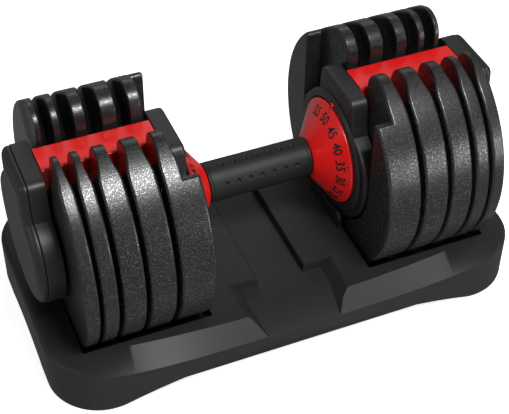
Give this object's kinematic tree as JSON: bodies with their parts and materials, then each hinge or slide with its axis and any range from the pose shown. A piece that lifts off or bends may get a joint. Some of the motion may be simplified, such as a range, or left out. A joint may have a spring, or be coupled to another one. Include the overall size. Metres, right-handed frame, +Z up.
{
  "type": "adjustable dumbbell in tray",
  "caption": "Adjustable dumbbell with two stacks of slotted round plates, a turning grip with numbered dials, and a storage tray.",
  "frame": {"origin": "centre of the underside of the tray's feet", "axes": "+X along the handle, +Y towards the back, +Z up; the index marks read from the -Y side"},
  "size_m": [0.41, 0.214, 0.2038],
  "materials": {
    "black_plastic": "satin black moulded plastic",
    "housing_plastic": "satin dark grey moulded plastic",
    "cast_plate": "black speckled powder coat",
    "red_plastic": "glossy red plastic",
    "grip_rubber": "satin black, dimpled",
    "steel": "plain steel",
    "disc_plastic": "dark grey nylon",
    "foot_rubber": "matt black rubber",
    "bush_plastic": "natural acetal"
  },
  "bodies": {
    "tray": {"tray_shell": "black_plastic", "tray_foot_1": "foot_rubber", "tray_foot_2": "foot_rubber", "tray_foot_3": "foot_rubber", "tray_foot_4": "foot_rubber", "seat_ridge_left": "black_plastic", "lock_post_left": "black_plastic", "seat_ridge_right": "black_plastic", "lock_post_right": "black_plastic"},
    "dumbbell": {"inner_housing_left": "housing_plastic", "outer_housing_left": "housing_plastic", "end_cover_left": "housing_plastic", "bridge_left": "housing_plastic", "top_cover_left": "red_plastic", "index_pointer_left": "red_plastic", "dial_bezel_left": "black_plastic", "inner_bush_left": "bush_plastic", "outer_bush_left": "bush_plastic", "inner_housing_right": "housing_plastic", "outer_housing_right": "housing_plastic", "end_cover_right": "housing_plastic", "bridge_right": "housing_plastic", "top_cover_right": "red_plastic", "index_pointer_right": "red_plastic", "dial_bezel_right": "black_plastic", "inner_bush_right": "bush_plastic", "outer_bush_right": "bush_plastic"},
    "handle": {"grip_sleeve": "grip_rubber", "handle_tube": "steel", "dial_left": "red_plastic", "selector_shaft_left": "steel", "selector_disc_left_1": "disc_plastic", "selector_disc_left_2": "disc_plastic", "selector_disc_left_3": "disc_plastic", "selector_disc_left_4": "disc_plastic", "selector_disc_left_5": "disc_plastic", "dial_right": "red_plastic", "selector_shaft_right": "steel", "selector_disc_right_1": "disc_plastic", "selector_disc_right_2": "disc_plastic", "selector_disc_right_3": "disc_plastic", "selector_disc_right_4": "disc_plastic", "selector_disc_right_5": "disc_plastic"},
    "weight_left_1": {"plate_left_1": "cast_plate"},
    "weight_left_2": {"plate_left_2": "cast_plate"},
    "weight_left_3": {"plate_left_3": "cast_plate"},
    "weight_left_4": {"plate_left_4": "cast_plate"},
    "weight_left_5": {"plate_left_5": "cast_plate"},
    "weight_right_1": {"plate_right_1": "cast_plate"},
    "weight_right_2": {"plate_right_2": "cast_plate"},
    "weight_right_3": {"plate_right_3": "cast_plate"},
    "weight_right_4": {"plate_right_4": "cast_plate"},
    "weight_right_5": {"plate_right_5": "cast_plate"},
    "lock_left": {"lock_pin_left": "steel"},
    "lock_right": {"lock_pin_right": "steel"}
  },
  "joints": [
    {"name": "dumbbell_lift", "type": "slide", "parent": "tray", "child": "dumbbell", "axis": [0, 0, 1], "range_m": [0, 0.24]},
    {"name": "handle_turn", "type": "hinge", "parent": "dumbbell", "child": "handle", "pos_m": [0, 0, 0.11165], "axis": [1, 0, 0], "range_deg": [-202.5, 22.5]},
    {"name": "weight_left_1_lift", "type": "slide", "parent": "tray", "child": "weight_left_1", "axis": [0, 0, 1], "range_m": [0, 0.24]},
    {"name": "weight_left_2_lift", "type": "slide", "parent": "tray", "child": "weight_left_2", "axis": [0, 0, 1], "range_m": [0, 0.24]},
    {"name": "weight_left_3_lift", "type": "slide", "parent": "tray", "child": "weight_left_3", "axis": [0, 0, 1], "range_m": [0, 0.24]},
    {"name": "weight_left_4_lift", "type": "slide", "parent": "tray", "child": "weight_left_4", "axis": [0, 0, 1], "range_m": [0, 0.24]},
    {"name": "weight_left_5_lift", "type": "slide", "parent": "tray", "child": "weight_left_5", "axis": [0, 0, 1], "range_m": [0, 0.24]},
    {"name": "weight_right_1_lift", "type": "slide", "parent": "tray", "child": "weight_right_1", "axis": [0, 0, 1], "range_m": [0, 0.24]},
    {"name": "weight_right_2_lift", "type": "slide", "parent": "tray", "child": "weight_right_2", "axis": [0, 0, 1], "range_m": [0, 0.24]},
    {"name": "weight_right_3_lift", "type": "slide", "parent": "tray", "child": "weight_right_3", "axis": [0, 0, 1], "range_m": [0, 0.24]},
    {"name": "weight_right_4_lift", "type": "slide", "parent": "tray", "child": "weight_right_4", "axis": [0, 0, 1], "range_m": [0, 0.24]},
    {"name": "weight_right_5_lift", "type": "slide", "parent": "tray", "child": "weight_right_5", "axis": [0, 0, 1], "range_m": [0, 0.24]},
    {"name": "lock_left_slide", "type": "slide", "parent": "dumbbell", "child": "lock_left", "axis": [0, 0, 1], "range_m": [-0.004, 0]},
    {"name": "lock_right_slide", "type": "slide", "parent": "dumbbell", "child": "lock_right", "axis": [0, 0, 1], "range_m": [-0.004, 0]}
  ],
  "couplings": [
    {"joint": "weight_left_1_lift", "follows": "dumbbell_lift", "ratio": 1},
    {"joint": "weight_left_2_lift", "follows": "dumbbell_lift", "ratio": 1},
    {"joint": "weight_left_3_lift", "follows": "dumbbell_lift", "ratio": 1},
    {"joint": "weight_left_4_lift", "follows": "dumbbell_lift", "ratio": 1},
    {"joint": "weight_left_5_lift", "follows": "dumbbell_lift", "ratio": 1},
    {"joint": "weight_right_1_lift", "follows": "dumbbell_lift", "ratio": 1},
    {"joint": "weight_right_2_lift", "follows": "dumbbell_lift", "ratio": 1},
    {"joint": "weight_right_3_lift", "follows": "dumbbell_lift", "ratio": 1},
    {"joint": "weight_right_4_lift", "follows": "dumbbell_lift", "ratio": 1},
    {"joint": "weight_right_5_lift", "follows": "dumbbell_lift", "ratio": 1},
    {"joint": "lock_left_slide", "follows": "dumbbell_lift", "ratio": -0.0166},
    {"joint": "lock_right_slide", "follows": "dumbbell_lift", "ratio": -0.0166}
  ]
}
